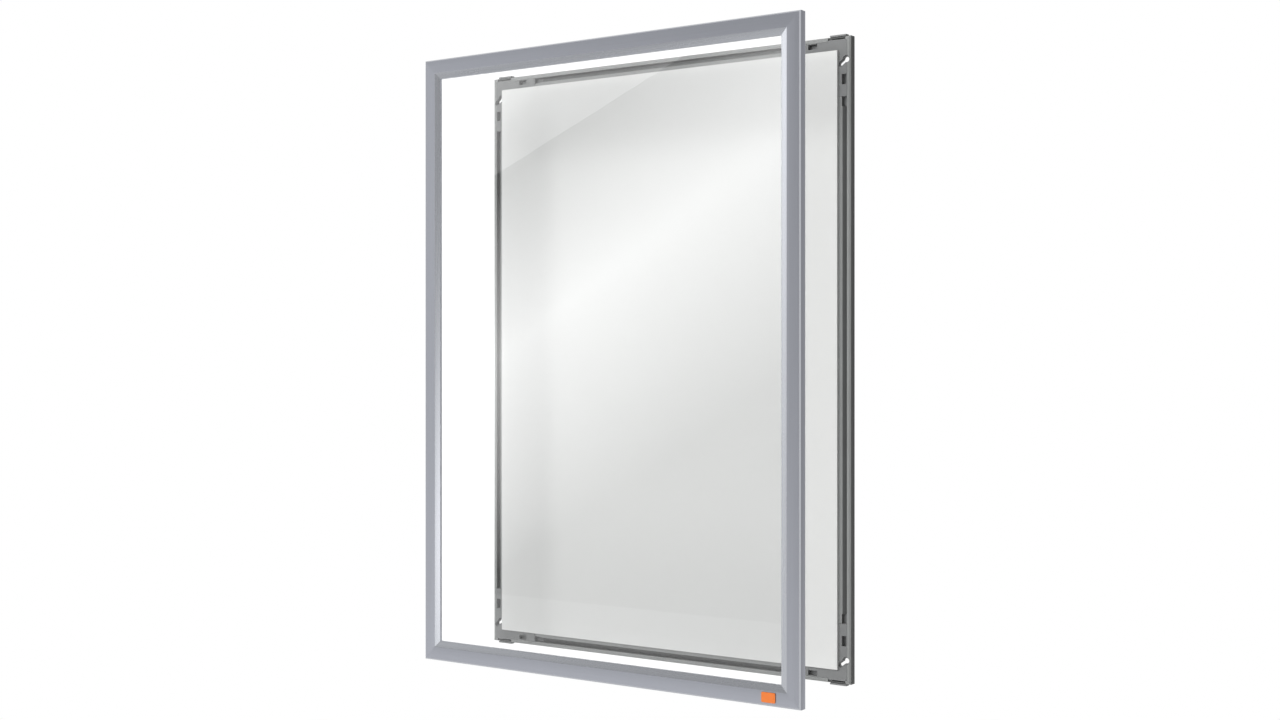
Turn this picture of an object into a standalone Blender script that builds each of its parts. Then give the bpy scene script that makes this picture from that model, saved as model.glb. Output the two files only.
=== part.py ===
"""Front-loading poster frame for a wall, opened.

A mitred bezel with its clear sheet stands in front of the wall frame, as when the poster is changed.
It closes straight back along +Y. Metres, +Z up, the viewer at -Y. The origin is the middle of the
frame on the wall. In the sections, x runs inward from a rail's outer edge and y runs back, towards
the wall, from the front of the bezel or from the front edge of the wall frame.
"""
import math

import bmesh
import bpy
from mathutils import Matrix, Vector

# The whole frame
BEZEL_WIDTH = 0.636
BEZEL_HEIGHT = 0.888
OPEN_DISTANCE = 0.153
SIDE_MARGIN = 0.0073
END_MARGIN = 0.0070
SEAT_GAP = 0.0003
OVERRUN = 0.004

# Bezel extrusion
BEZEL_DEPTH = 0.0130
OUTER_CHAMFER = 0.0018
FLAT_WIDTH = 0.0180
BEVEL_WIDTH = 0.0092
BEVEL_DROP = 0.0020
RETURN_LEG = 0.0035
BEZEL_WALL = 0.0014
BEZEL_FACE = 0.0016
CHANNEL_WIDTH = 0.0196
CHANNEL_RIB = 0.0012
CHANNEL_LIP = 0.0012
CHANNEL_LIP_THICKNESS = 0.0012
BEAD_HEIGHT = 0.0014

# Corner brackets and clips inside the bezel
BRACKET_REACH = 0.0480
CLIP_LENGTH = 0.0180
CLIP_HEAD_THICKNESS = 0.0014
CLIP_HEAD_START = 0.0080
SHEET_HOLD = 0.0036
PRONG_LENGTH = 0.0130
PRONG_PLAY = 0.0007
PRONG_TIP_PLAY = 0.0005
PRONG_TAPER = 0.0025
PRONG_TAPER_SIDE = 0.0015
PRONG_SPLIT = 0.0020
PRONG_SPLIT_ROOT = 0.0015

# Clear sheet and badge
SHEET_THICKNESS = 0.0010
SHEET_LAP = 0.0076
BADGE_WIDTH = 0.0207
BADGE_HEIGHT = 0.0132
BADGE_THICKNESS = 0.0008
BADGE_CORNER = 0.0016
BADGE_FROM_SIDE = 0.0362
BADGE_FROM_EDGE = 0.0047
BADGE_ROUNDING = 0.0002

# Wall frame rails
RAIL_DEPTH = 0.0100
CROWN = 0.0015
LEAD_IN = 0.0022
LIP_WIDTH = 0.0058
GROOVE_WIDTH = 0.0076
GROOVE_DEPTH = 0.0050
FLANGE_WIDTH = 0.0051
FLANGE_FALL = 0.0010
RAIL_WALL = 0.0020
RAIL_SKIN = 0.0016
FLOOR_SKIN = 0.0022
LEDGE_WIDTH = 0.0105

# Backboard
BOARD_THICKNESS = 0.0050
BOARD_RISE = 0.0049
BOARD_ROUNDING = 0.0003

# Corner keys
KEY_REACH = 0.0815
KEY_PLATE = 0.0030
KEY_BLOCK_START = 0.0470
KEY_FOOT_WALL = 0.0018
KEY_SHORT_FOOT = 0.0200
SOCKET_START = 0.0510
SOCKET_LENGTH = 0.0140
SOCKET_WIDTH = 0.0070
SOCKET_FROM_EDGE = 0.0065
SOCKET_DEPTH = 0.0068
POCKET_WALL = 0.0018
MOULD_STEP = 0.0002
PIT_LENGTH = 0.0128
TENON_TONGUE = 0.0100

# Keyholes
HOLE_RADIUS = 0.0038
SLOT_RADIUS = 0.00205
HOLE_FROM_SIDE = 0.0109
HOLE_FROM_END = 0.0316
HOLE_HALF_RUN = 0.0040
HOLE_DROP = 0.0059
HOLE_RECESS = 0.0020
HOLE_RECESS_MARGIN = 0.0016

# Spring tongues on the corner keys
TONGUE_START = 0.0083
TONGUE_LENGTH = 0.0242
TONGUE_THICKNESS = 0.0025
TONGUE_PROUD = 0.0031
TONGUE_SET_BACK = 0.0006
TONGUE_LEAD_IN = 0.0010
TONGUE_ROOT = 0.0025
TONGUE_ROOT_LAP = 0.0010
TONGUE_SLOT_EDGE = 0.0039
TONGUE_NOTCH = 0.0022
BRIDGE_START = 0.0010

# What follows from the sizes above
FACE_WIDTH = OUTER_CHAMFER + FLAT_WIDTH + BEVEL_WIDTH
SHEET_SEAT = BEVEL_DROP + RETURN_LEG
SHEET_BACK = SHEET_SEAT + SEAT_GAP + SHEET_THICKNESS
SHEET_EDGE = FACE_WIDTH - SHEET_LAP
CHANNEL_MOUTH = SHEET_SEAT - CHANNEL_LIP_THICKNESS
RIB_START = BEZEL_WALL + CHANNEL_WIDTH
CLOSED_DISTANCE = SHEET_BACK + SEAT_GAP + BOARD_RISE
BEAD_REACH = END_MARGIN - TONGUE_PROUD - SEAT_GAP - BEZEL_WALL
FRAME_WIDTH = BEZEL_WIDTH - 2 * SIDE_MARGIN
FRAME_HEIGHT = BEZEL_HEIGHT - 2 * END_MARGIN
GROOVE_END = LIP_WIDTH + GROOVE_WIDTH
RAIL_INNER = GROOVE_END + FLANGE_WIDTH
LEDGE_FRONT = BOARD_THICKNESS - BOARD_RISE + SEAT_GAP
LIP_BACK = RAIL_SKIN - CROWN
KEY_FACE_BACK = LEDGE_FRONT + KEY_PLATE / 3
FOOT_FRONT = LEDGE_FRONT + 2 * KEY_PLATE / 3
FOOT_BACK = RAIL_DEPTH - SEAT_GAP
SOCKET_FLOOR = SOCKET_DEPTH - CROWN
PRONG_ROOT = SHEET_BACK + CLIP_HEAD_THICKNESS
PRONG_TIP = CLOSED_DISTANCE + SOCKET_FLOOR - PRONG_TIP_PLAY
TONGUE_END = TONGUE_START + TONGUE_LENGTH
TONGUE_ROOT_BACK = FOOT_BACK - SEAT_GAP

# Quarter turn that lays an outline's X along Z and its thickness along -X
ALONG_Z = Matrix(((0, 0, -1, 0), (0, 1, 0, 0), (1, 0, 0, 0), (0, 0, 0, 1)))

ARC_STEPS = 20
BADGE_CORNER_STEPS = 4
BEVEL_SEGMENTS = 2
WELD_DISTANCE = 0.000001
SMOOTH_ANGLE = math.radians(35)
FLAT_ANGLE = math.radians(0.5)

# Each side of the frame: its name, its quarter turns about Y, and its outward direction in X and Z
SIDES = (("left", 0, -1, 0), ("top", 1, 0, 1), ("right", 2, 1, 0), ("bottom", 3, 0, -1))
CORNERS = (("top_left", -1, 1), ("top_right", 1, 1), ("bottom_left", -1, -1), ("bottom_right", 1, -1))


def clear_scene():
    """Start from an empty scene."""
    for item in list(bpy.data.objects):
        bpy.data.objects.remove(item)


def new_collection(name):
    """Add a collection to the scene."""
    group = bpy.data.collections.new(name)
    bpy.context.scene.collection.children.link(group)
    return group


def new_material(name, colour, roughness, metallic=0.0, transmission=0.0):
    """Make a plain material."""
    material = bpy.data.materials.new(name)
    material.use_nodes = True
    shader = material.node_tree.nodes["Principled BSDF"]
    shader.inputs["Base Color"].default_value = (*colour, 1.0)
    shader.inputs["Roughness"].default_value = roughness
    shader.inputs["Metallic"].default_value = metallic
    shader.inputs["Transmission Weight"].default_value = transmission
    material.diffuse_color = (*colour, 1.0)
    return material


def tidy(mesh):
    """Weld the caps of an extruded outline, make each one face, and turn the faces outward."""
    shape = bmesh.new()
    shape.from_mesh(mesh)
    bmesh.ops.remove_doubles(shape, verts=shape.verts, dist=WELD_DISTANCE)
    bmesh.ops.dissolve_limit(shape, angle_limit=FLAT_ANGLE, verts=shape.verts, edges=shape.edges)
    bmesh.ops.recalc_face_normals(shape, faces=shape.faces)
    shape.to_mesh(mesh)
    shape.free()
    mesh.shade_flat()
    return mesh


def outline_mesh(name, points, low, high):
    """Extrude a flat outline in X and Y from one height in Z to another."""
    curve = bpy.data.curves.new(name, "CURVE")
    curve.dimensions = "2D"
    curve.fill_mode = "BOTH"
    curve.extrude = (high - low) / 2
    spline = curve.splines.new("POLY")
    spline.points.add(len(points) - 1)
    for knot, (x, y) in zip(spline.points, points):
        knot.co = (x, y, 0, 1)
    spline.use_cyclic_u = True
    guide = bpy.data.objects.new(name, curve)
    bpy.context.scene.collection.objects.link(guide)
    depsgraph = bpy.context.evaluated_depsgraph_get()
    mesh = bpy.data.meshes.new_from_object(guide.evaluated_get(depsgraph))
    bpy.data.objects.remove(guide)
    mesh.transform(Matrix.Translation((0, 0, (low + high) / 2)))
    return tidy(mesh)


def slab_mesh(name, points, front, back):
    """Make a slab from an outline in X and Z, between two depths in Y."""
    mesh = outline_mesh(name, points, -back, -front)
    mesh.transform(Matrix.Rotation(math.pi / 2, 4, "X"))
    return mesh


def box_mesh(name, low, high):
    """Make a box between two corners, given in any order."""
    low, high = Vector(low), Vector(high)
    shape = bmesh.new()
    middle = Matrix.Translation((low + high) / 2)
    size = Matrix.Diagonal(Vector([abs(edge) for edge in high - low]).to_4d())
    bmesh.ops.create_cube(shape, size=1.0, matrix=middle @ size)
    mesh = bpy.data.meshes.new(name)
    shape.to_mesh(mesh)
    shape.free()
    return mesh


def mitre(mesh, half_length):
    """Slide both ends of a rail back by each point's distance from the outer edge."""
    for vertex in mesh.vertices:
        end = math.copysign(half_length - SEAT_GAP / 2 - vertex.co.x, vertex.co.z)
        vertex.co.z = end
    mesh.update()
    return mesh


def add_piece(name, mesh, material, parent, location=(0, 0, 0), turns=0):
    """Place a piece by its location and its quarter turns about Y."""
    piece = bpy.data.objects.new(name, mesh)
    mesh.materials.clear()
    mesh.materials.append(material)
    PARTS.objects.link(piece)
    piece.parent = parent
    piece.location = location
    piece.rotation_euler = (0, turns * math.pi / 2, 0)
    return piece


def add_tool(piece, mesh, operation):
    """Cut a piece with a hidden tool, or join the tool to it."""
    tool = bpy.data.objects.new(mesh.name, mesh)
    TOOLS.objects.link(tool)
    tool.parent = piece
    tool.hide_render = True
    tool.display_type = "WIRE"
    step = piece.modifiers.new(mesh.name, "BOOLEAN")
    step.object = tool
    step.operation = operation
    step.solver = "EXACT"


def cut(piece, mesh):
    """Cut a piece."""
    add_tool(piece, mesh, "DIFFERENCE")


def join(piece, mesh):
    """Join a shape to a piece."""
    add_tool(piece, mesh, "UNION")


def round_edges(piece, width):
    """Round a piece's edges a little."""
    step = piece.modifiers.new("rounding", "BEVEL")
    step.width = width
    step.segments = BEVEL_SEGMENTS
    step.limit_method = "ANGLE"
    piece.data.shade_smooth()
    piece.data.set_sharp_from_angle(angle=SMOOTH_ANGLE)


def bevel_depth_at(x):
    """Depth of the bezel's sloping inner face at a distance from the outer edge."""
    return BEVEL_DROP * (x - OUTER_CHAMFER - FLAT_WIDTH) / BEVEL_WIDTH


def bezel_section():
    """Section of the bezel: outer wall with bead, chamfer, face, bevel, return leg and lipped channel."""
    leg_inner = FACE_WIDTH - BEZEL_WALL
    rib_inner = RIB_START + CHANNEL_RIB
    rib_lip = RIB_START - CHANNEL_LIP
    wall_lip = BEZEL_WALL + CHANNEL_LIP
    bead = BEZEL_WALL + BEAD_REACH
    return [
        (0, BEZEL_DEPTH),
        (0, OUTER_CHAMFER),
        (OUTER_CHAMFER, 0),
        (OUTER_CHAMFER + FLAT_WIDTH, 0),
        (FACE_WIDTH, BEVEL_DROP),
        (FACE_WIDTH, SHEET_SEAT),
        (leg_inner, SHEET_SEAT),
        (leg_inner, bevel_depth_at(leg_inner) + BEZEL_FACE),
        (rib_inner, bevel_depth_at(rib_inner) + BEZEL_FACE),
        (rib_inner, SHEET_SEAT),
        (rib_lip, SHEET_SEAT),
        (rib_lip, CHANNEL_MOUTH),
        (RIB_START, CHANNEL_MOUTH),
        (RIB_START, BEZEL_FACE),
        (BEZEL_WALL, BEZEL_FACE),
        (BEZEL_WALL, CHANNEL_MOUTH),
        (wall_lip, CHANNEL_MOUTH),
        (wall_lip, SHEET_SEAT),
        (BEZEL_WALL, SHEET_SEAT),
        (BEZEL_WALL, BEZEL_DEPTH - BEAD_HEIGHT),
        (bead, BEZEL_DEPTH - BEAD_HEIGHT),
        (bead, BEZEL_DEPTH),
    ]


def rail_section():
    """Section of a wall frame rail: crowned lip, sloping groove, flange, ledge and hollow back."""
    groove_top = FLANGE_FALL - CROWN
    inner_wall = RAIL_INNER - RAIL_SKIN
    ledge_back = LEDGE_FRONT + KEY_PLATE
    return [
        (0, RAIL_DEPTH),
        (0, 0),
        (LEAD_IN, -CROWN),
        (LIP_WIDTH, -CROWN),
        (LIP_WIDTH, GROOVE_DEPTH),
        (GROOVE_END, groove_top),
        (RAIL_INNER, -CROWN),
        (RAIL_INNER, LEDGE_FRONT),
        (RAIL_INNER + LEDGE_WIDTH, LEDGE_FRONT),
        (RAIL_INNER + LEDGE_WIDTH, ledge_back),
        (RAIL_INNER, ledge_back),
        (RAIL_INNER, RAIL_DEPTH),
        (inner_wall, RAIL_DEPTH),
        (inner_wall, groove_top + FLOOR_SKIN),
        (GROOVE_END, groove_top + FLOOR_SKIN),
        (LIP_WIDTH, GROOVE_DEPTH + FLOOR_SKIN),
        (LIP_WIDTH - RAIL_SKIN, GROOVE_DEPTH + FLOOR_SKIN),
        (LIP_WIDTH - RAIL_SKIN, LIP_BACK),
        (RAIL_WALL, LIP_BACK),
        (RAIL_WALL, RAIL_DEPTH),
    ]


def keyhole_outline(radius, slot_radius, run, fall):
    """Outline in X and Z of a keyhole whose narrow end lies to the left of its round hole and below it."""
    direction = math.atan2(-fall, -run)
    reach = math.hypot(run, fall)
    mouth = math.asin(slot_radius / radius)
    points = []
    for step in range(ARC_STEPS + 1):
        angle = direction + mouth + (2 * math.pi - 2 * mouth) * step / ARC_STEPS
        points.append((radius * math.cos(angle), radius * math.sin(angle)))
    for step in range(ARC_STEPS // 2 + 1):
        angle = direction - math.pi / 2 + math.pi * step / (ARC_STEPS // 2)
        x = reach * math.cos(direction) + slot_radius * math.cos(angle)
        z = reach * math.sin(direction) + slot_radius * math.sin(angle)
        points.append((x, z))
    return points


def keyhole_mesh(name, side, end, margin, front, back):
    """Make a keyhole cutter, or its wider recess, in the local frame of a corner of the wall frame."""
    centre_x = -side * HOLE_FROM_SIDE + HOLE_HALF_RUN
    centre_z = -end * HOLE_FROM_END
    outline = keyhole_outline(HOLE_RADIUS + margin, SLOT_RADIUS + margin, 2 * HOLE_HALF_RUN, HOLE_DROP)
    points = [(centre_x + x, centre_z + z) for x, z in outline]
    return slab_mesh(name, points, front, back)


def corner_outline(side, end, points):
    """Turn distances from a corner's two edges into an outline in X and Z."""
    return [(-side * x, -end * z) for x, z in points]


def corner_band(side, end, outer, inner, reach):
    """Outline of an L that follows a corner, between two distances from its edges."""
    points = [(outer, outer), (reach, outer), (reach, inner), (inner, inner), (inner, reach), (outer, reach)]
    return corner_outline(side, end, points)


def notched_band(side, end, outer, inner, reach, notch, start, stop):
    """Outline of an L whose outer edge on the end rail steps to another distance between two places.

    The short stretch before the first place lies a mould step further in.
    """
    near = outer + MOULD_STEP
    points = [(outer, near), (start, near), (start, notch), (stop, notch), (stop, outer), (reach, outer)]
    points += [(reach, inner), (inner, inner), (inner, reach), (outer, reach)]
    return corner_outline(side, end, points)


def leg_box(name, side, end, upright, across, along, depth):
    """Make a box on one leg of a corner: spans across the leg, along it from the corner, and in depth."""
    if upright:
        span_x, span_z = across, along
    else:
        span_x, span_z = along, across
    low = (-side * span_x[0], depth[0], -end * span_z[0])
    high = (-side * span_x[1], depth[1], -end * span_z[1])
    return box_mesh(name, low, high)


def build_wall_rails(parent, material):
    """Make the four mitred rails of the wall frame, with the room for keys, tongues and keyholes."""
    for name, turns, out_x, out_z in SIDES:
        upright = out_x != 0
        half_length = (FRAME_HEIGHT if upright else FRAME_WIDTH) / 2
        half_span = (FRAME_WIDTH if upright else FRAME_HEIGHT) / 2
        mesh = outline_mesh("back_rail_" + name, rail_section(), -half_length, half_length)
        mitre(mesh, half_length)
        location = (out_x * half_span, 0, out_z * half_span)
        rail = add_piece("back_rail_" + name, mesh, material, parent, location, turns)
        for sign in (-1, 1):
            cut_rail_end(rail, sign, half_length)
            if not upright:
                cut_tongue_window(rail, sign, half_length)
        if upright:
            for end in (-1, 1):
                cut_rail_recess(rail, out_x, end, half_length)


def cut_rail_end(rail, sign, half_length):
    """Make room for a corner key behind the lip, and for its tenon in the groove's floor."""
    low, high = sorted((sign * (half_length - KEY_REACH), sign * (half_length + OVERRUN)))
    face = LIP_WIDTH - SEAT_GAP
    inner = RAIL_INNER + LEDGE_WIDTH + OVERRUN
    front = -CROWN - OVERRUN
    back = RAIL_DEPTH + OVERRUN
    room = [
        (RAIL_WALL, back),
        (RAIL_WALL, LIP_BACK),
        (face, LIP_BACK),
        (face, front),
        (inner, front),
        (inner, back),
    ]
    cut(rail, outline_mesh("key_room", room, low, high))
    pit_start = sign * (half_length - KEY_REACH - PIT_LENGTH)
    pit_end = sign * (half_length - KEY_REACH + OVERRUN)
    pit_low = (LIP_WIDTH + SEAT_GAP, front + SEAT_GAP, pit_start)
    pit_high = (GROOVE_END + SEAT_GAP, back - SEAT_GAP, pit_end)
    cut(rail, box_mesh("pit", pit_low, pit_high))


def cut_tongue_window(rail, sign, half_length):
    """Open the lip in front of a spring tongue, and the wall behind the bridge for its root."""
    start = sign * (half_length - TONGUE_START + SEAT_GAP)
    notch = sign * (half_length - TONGUE_END - TONGUE_NOTCH)
    stop = sign * (half_length - TONGUE_END - SEAT_GAP)
    root = TONGUE_ROOT_BACK - TONGUE_ROOT - SEAT_GAP
    cut(rail, box_mesh("window", (-OVERRUN, -CROWN - OVERRUN, start), (LIP_WIDTH, BRIDGE_START, notch)))
    cut(rail, box_mesh("root_room", (-OVERRUN, root, start), (LIP_WIDTH, RAIL_DEPTH + OVERRUN, stop)))


def cut_rail_recess(rail, side, end, half_length):
    """Cut the keyhole's recess into the lip of an upright rail."""
    front = -CROWN - OVERRUN
    mesh = keyhole_mesh("keyhole_recess", side, end, HOLE_RECESS_MARGIN, front, HOLE_RECESS - CROWN)
    mesh.transform(Matrix.Translation((0, 0, end * half_length)))
    mesh.transform(rail.rotation_euler.to_matrix().to_4x4().inverted())
    cut(rail, mesh)


def build_corner_keys(parent, material):
    """Make the four moulded keys that join the rails, take the clips and hang the frame."""
    for name, side, end in CORNERS:
        location = (side * FRAME_WIDTH / 2, 0, end * FRAME_HEIGHT / 2)
        reach = KEY_REACH - SEAT_GAP
        slot_stop = TONGUE_END + TONGUE_NOTCH - SEAT_GAP
        slot_start = TONGUE_START
        slot_edge = TONGUE_SLOT_EDGE
        face = notched_band(side, end, LIP_WIDTH, RAIL_INNER, reach, slot_edge, slot_start, slot_stop)
        mesh = slab_mesh("corner_key_" + name, face, -CROWN, KEY_FACE_BACK)
        key = add_piece("corner_key_" + name, mesh, material, parent, location)
        plate_outer = RAIL_WALL + SEAT_GAP
        plate_inner = RAIL_INNER + LEDGE_WIDTH
        plate_slot = slot_edge + MOULD_STEP
        plate = notched_band(side, end, plate_outer, plate_inner, reach - MOULD_STEP, plate_slot,
                             slot_start - SEAT_GAP, slot_stop + SEAT_GAP)
        join(key, slab_mesh("plate", plate, LEDGE_FRONT, LEDGE_FRONT + KEY_PLATE))
        add_key_feet(key, side, end)
        add_tongue(key, side, end)
        for upright in (False, True):
            add_tenon(key, side, end, upright)
            cut_key_leg(key, side, end, upright)
        front = -CROWN - OVERRUN
        cut(key, keyhole_mesh("recess", side, end, HOLE_RECESS_MARGIN, front, HOLE_RECESS - CROWN))
        cut(key, keyhole_mesh("keyhole", side, end, 0, front, RAIL_DEPTH))


def add_key_feet(key, side, end):
    """Add the foot wall and the two blocks behind the plate, clear of the keyhole."""
    reach = KEY_REACH - SEAT_GAP
    wall = LIP_WIDTH + KEY_FOOT_WALL
    points = [
        (LIP_WIDTH, LIP_WIDTH),
        (reach, LIP_WIDTH),
        (reach, RAIL_INNER),
        (KEY_BLOCK_START, RAIL_INNER),
        (KEY_BLOCK_START, wall),
        (wall, wall),
        (wall, KEY_SHORT_FOOT),
        (LIP_WIDTH, KEY_SHORT_FOOT),
    ]
    join(key, slab_mesh("foot", corner_outline(side, end, points), FOOT_FRONT, FOOT_BACK))
    across = (LIP_WIDTH, RAIL_INNER)
    join(key, leg_box("block", side, end, True, across, (KEY_BLOCK_START, reach), (FOOT_FRONT, FOOT_BACK)))


def add_tenon(key, side, end, upright):
    """Add a leg's tenon: its face is the floor of the pit, and its tongue runs on under the groove."""
    outer = LIP_WIDTH + 2 * SEAT_GAP
    inner = RAIL_INNER - RAIL_SKIN - SEAT_GAP
    root = KEY_REACH - SEAT_GAP - KEY_FOOT_WALL
    pit_end = KEY_REACH + PIT_LENGTH - SEAT_GAP
    tongue_front = GROOVE_DEPTH + FLOOR_SKIN + SEAT_GAP
    tongue_end = pit_end + TENON_TONGUE
    back = FOOT_BACK - MOULD_STEP
    section = [
        (root, GROOVE_DEPTH),
        (pit_end, GROOVE_DEPTH),
        (pit_end, tongue_front),
        (tongue_end, tongue_front),
        (tongue_end, back),
        (root, back),
    ]
    if upright:
        points = [(-end * along, y) for along, y in section]
        mesh = outline_mesh("tenon", points, *sorted((side * outer, side * inner)))
        mesh.transform(ALONG_Z)
    else:
        points = [(-side * along, y) for along, y in section]
        mesh = outline_mesh("tenon", points, *sorted((-end * outer, -end * inner)))
    join(key, tidy(mesh))


def cut_key_leg(key, side, end, upright):
    """Cut a leg's socket from the front and its core from the back."""
    across = (SOCKET_FROM_EDGE, SOCKET_FROM_EDGE + SOCKET_WIDTH)
    along = (SOCKET_START, SOCKET_START + SOCKET_LENGTH)
    cut(key, leg_box("socket", side, end, upright, across, along, (-CROWN - OVERRUN, SOCKET_FLOOR)))
    across = (LIP_WIDTH + POCKET_WALL, RAIL_INNER - POCKET_WALL)
    along = (SOCKET_START + SOCKET_LENGTH + POCKET_WALL, KEY_REACH - SEAT_GAP - 2 * POCKET_WALL)
    depth = (LEDGE_FRONT + MOULD_STEP, RAIL_DEPTH + OVERRUN)
    cut(key, leg_box("core", side, end, upright, across, along, depth))


def add_tongue(key, side, end):
    """Add the spring tongue that stands outside the end rail, on its root behind the rail's wall."""
    outer = -TONGUE_PROUD
    inner = TONGUE_THICKNESS - TONGUE_PROUD
    tip = TONGUE_SET_BACK
    root_front = TONGUE_ROOT_BACK - TONGUE_ROOT
    hold = LIP_WIDTH + TONGUE_ROOT_LAP
    section = [
        (outer, TONGUE_ROOT_BACK),
        (outer, tip + TONGUE_LEAD_IN),
        (outer + TONGUE_LEAD_IN, tip),
        (inner, tip),
        (inner, root_front),
        (hold, root_front),
        (hold, TONGUE_ROOT_BACK),
    ]
    points = [(-end * x, y) for x, y in section]
    mesh = outline_mesh("tongue", points, *sorted((side * TONGUE_START, side * TONGUE_END)))
    mesh.transform(ALONG_Z)
    join(key, tidy(mesh))


def build_backboard(parent, material):
    """Make the board that lies on the ledges."""
    half_x = FRAME_WIDTH / 2 - RAIL_INNER - SEAT_GAP
    half_z = FRAME_HEIGHT / 2 - RAIL_INNER - SEAT_GAP
    back = BOARD_THICKNESS - BOARD_RISE
    mesh = box_mesh("backboard", (-half_x, -BOARD_RISE, -half_z), (half_x, back, half_z))
    board = add_piece("backboard", mesh, material, parent)
    round_edges(board, BOARD_ROUNDING)


def build_bezel_rails(parent, material):
    """Make the four mitred lengths of the bezel."""
    for name, turns, out_x, out_z in SIDES:
        upright = out_x != 0
        half_length = (BEZEL_HEIGHT if upright else BEZEL_WIDTH) / 2
        half_span = (BEZEL_WIDTH if upright else BEZEL_HEIGHT) / 2
        mesh = outline_mesh("bezel_rail_" + name, bezel_section(), -half_length, half_length)
        mitre(mesh, half_length)
        location = (out_x * half_span, 0, out_z * half_span)
        add_piece("bezel_rail_" + name, mesh, material, parent, location, turns)


def build_brackets(parent, material):
    """Make the flat corner brackets that lie in the bezel's channels."""
    front = BEZEL_FACE + SEAT_GAP
    back = CHANNEL_MOUTH - SEAT_GAP
    for name, side, end in CORNERS:
        band = corner_band(side, end, BEZEL_WALL + SEAT_GAP, RIB_START - SEAT_GAP, BRACKET_REACH)
        mesh = slab_mesh("bezel_bracket_" + name, band, front, back)
        location = (side * BEZEL_WIDTH / 2, 0, end * BEZEL_HEIGHT / 2)
        add_piece("bezel_bracket_" + name, mesh, material, parent, location)


def clip_section():
    """Section of a clip's body: foot in the channel, neck, and head that holds the clear sheet."""
    foot_back = CHANNEL_MOUTH - SEAT_GAP
    neck_outer = BEZEL_WALL + CHANNEL_LIP + SEAT_GAP
    neck_inner = RIB_START - CHANNEL_LIP - SEAT_GAP
    sheet_front = SHEET_SEAT + SEAT_GAP
    sheet_side = SHEET_EDGE - SEAT_GAP
    head_front = SHEET_BACK + SEAT_GAP
    head_back = head_front + CLIP_HEAD_THICKNESS
    return [
        (BEZEL_WALL + SEAT_GAP, BEZEL_FACE + SEAT_GAP),
        (RIB_START - SEAT_GAP, BEZEL_FACE + SEAT_GAP),
        (RIB_START - SEAT_GAP, foot_back),
        (neck_inner, foot_back),
        (neck_inner, sheet_front),
        (sheet_side, sheet_front),
        (sheet_side, head_front),
        (SHEET_EDGE + SHEET_HOLD, head_front),
        (SHEET_EDGE + SHEET_HOLD, head_back),
        (CLIP_HEAD_START, head_back),
        (CLIP_HEAD_START, SHEET_SEAT),
        (neck_outer, SHEET_SEAT),
        (neck_outer, foot_back),
        (BEZEL_WALL + SEAT_GAP, foot_back),
    ]


def prong_section(margin):
    """Section of a clip's prong, which enters the socket that lies behind it."""
    outer = margin + SOCKET_FROM_EDGE + PRONG_PLAY
    inner = margin + SOCKET_FROM_EDGE + SOCKET_WIDTH - PRONG_PLAY
    return [
        (outer, PRONG_ROOT),
        (inner, PRONG_ROOT),
        (inner, PRONG_TIP - PRONG_TAPER),
        (inner - PRONG_TAPER_SIDE, PRONG_TIP),
        (outer + PRONG_TAPER_SIDE, PRONG_TIP),
        (outer, PRONG_TIP - PRONG_TAPER),
    ]


def build_clips(parent, material):
    """Make the eight clips, each in line with a socket of the wall frame."""
    for name, turns, out_x, out_z in SIDES:
        upright = out_x != 0
        half_length = (BEZEL_HEIGHT if upright else BEZEL_WIDTH) / 2
        half_span = (BEZEL_WIDTH if upright else BEZEL_HEIGHT) / 2
        across_margin = SIDE_MARGIN if upright else END_MARGIN
        along_margin = END_MARGIN if upright else SIDE_MARGIN
        centre = half_length - along_margin - SOCKET_START - SOCKET_LENGTH / 2
        for sign, end_name in zip((-1, 1), ("bottom", "top") if upright else ("left", "right")):
            label = "bezel_clip_" + name + "_" + end_name
            mesh = outline_mesh(label, clip_section(), -CLIP_LENGTH / 2, CLIP_LENGTH / 2)
            location = (out_x * half_span + (0 if upright else sign * centre), 0,
                        out_z * half_span + (sign * centre if upright else 0))
            clip = add_piece(label, mesh, material, parent, location, turns)
            prong = prong_section(across_margin)
            join(clip, outline_mesh("prong", prong, -PRONG_LENGTH / 2, PRONG_LENGTH / 2))
            split_low = (across_margin, PRONG_ROOT + PRONG_SPLIT_ROOT, -PRONG_SPLIT / 2)
            split_high = (SHEET_EDGE + SHEET_HOLD, PRONG_TIP + OVERRUN, PRONG_SPLIT / 2)
            cut(clip, box_mesh("prong_split", split_low, split_high))


def build_sheet(parent, material):
    """Make the clear sheet that lies behind the return legs."""
    half_x = BEZEL_WIDTH / 2 - SHEET_EDGE
    half_z = BEZEL_HEIGHT / 2 - SHEET_EDGE
    front = SHEET_BACK - SHEET_THICKNESS
    mesh = box_mesh("glazing_sheet", (-half_x, front, -half_z), (half_x, SHEET_BACK, half_z))
    add_piece("glazing_sheet", mesh, material, parent)


def build_badge(parent, material):
    """Make the plain plate on the bottom rail."""
    half_x = BADGE_WIDTH / 2
    half_z = BADGE_HEIGHT / 2
    points = []
    for quarter, (sign_x, sign_z) in enumerate(((1, 1), (-1, 1), (-1, -1), (1, -1))):
        centre_x = sign_x * (half_x - BADGE_CORNER)
        centre_z = sign_z * (half_z - BADGE_CORNER)
        for step in range(BADGE_CORNER_STEPS + 1):
            angle = (quarter + step / BADGE_CORNER_STEPS) * math.pi / 2
            x = centre_x + BADGE_CORNER * math.cos(angle)
            z = centre_z + BADGE_CORNER * math.sin(angle)
            points.append((x, z))
    mesh = slab_mesh("plain_badge", points, -SEAT_GAP - BADGE_THICKNESS, -SEAT_GAP)
    centre = (BEZEL_WIDTH / 2 - BADGE_FROM_SIDE - half_x, 0, BADGE_FROM_EDGE + half_z - BEZEL_HEIGHT / 2)
    badge = add_piece("plain_badge", mesh, material, parent, centre)
    round_edges(badge, BADGE_ROUNDING)


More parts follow.
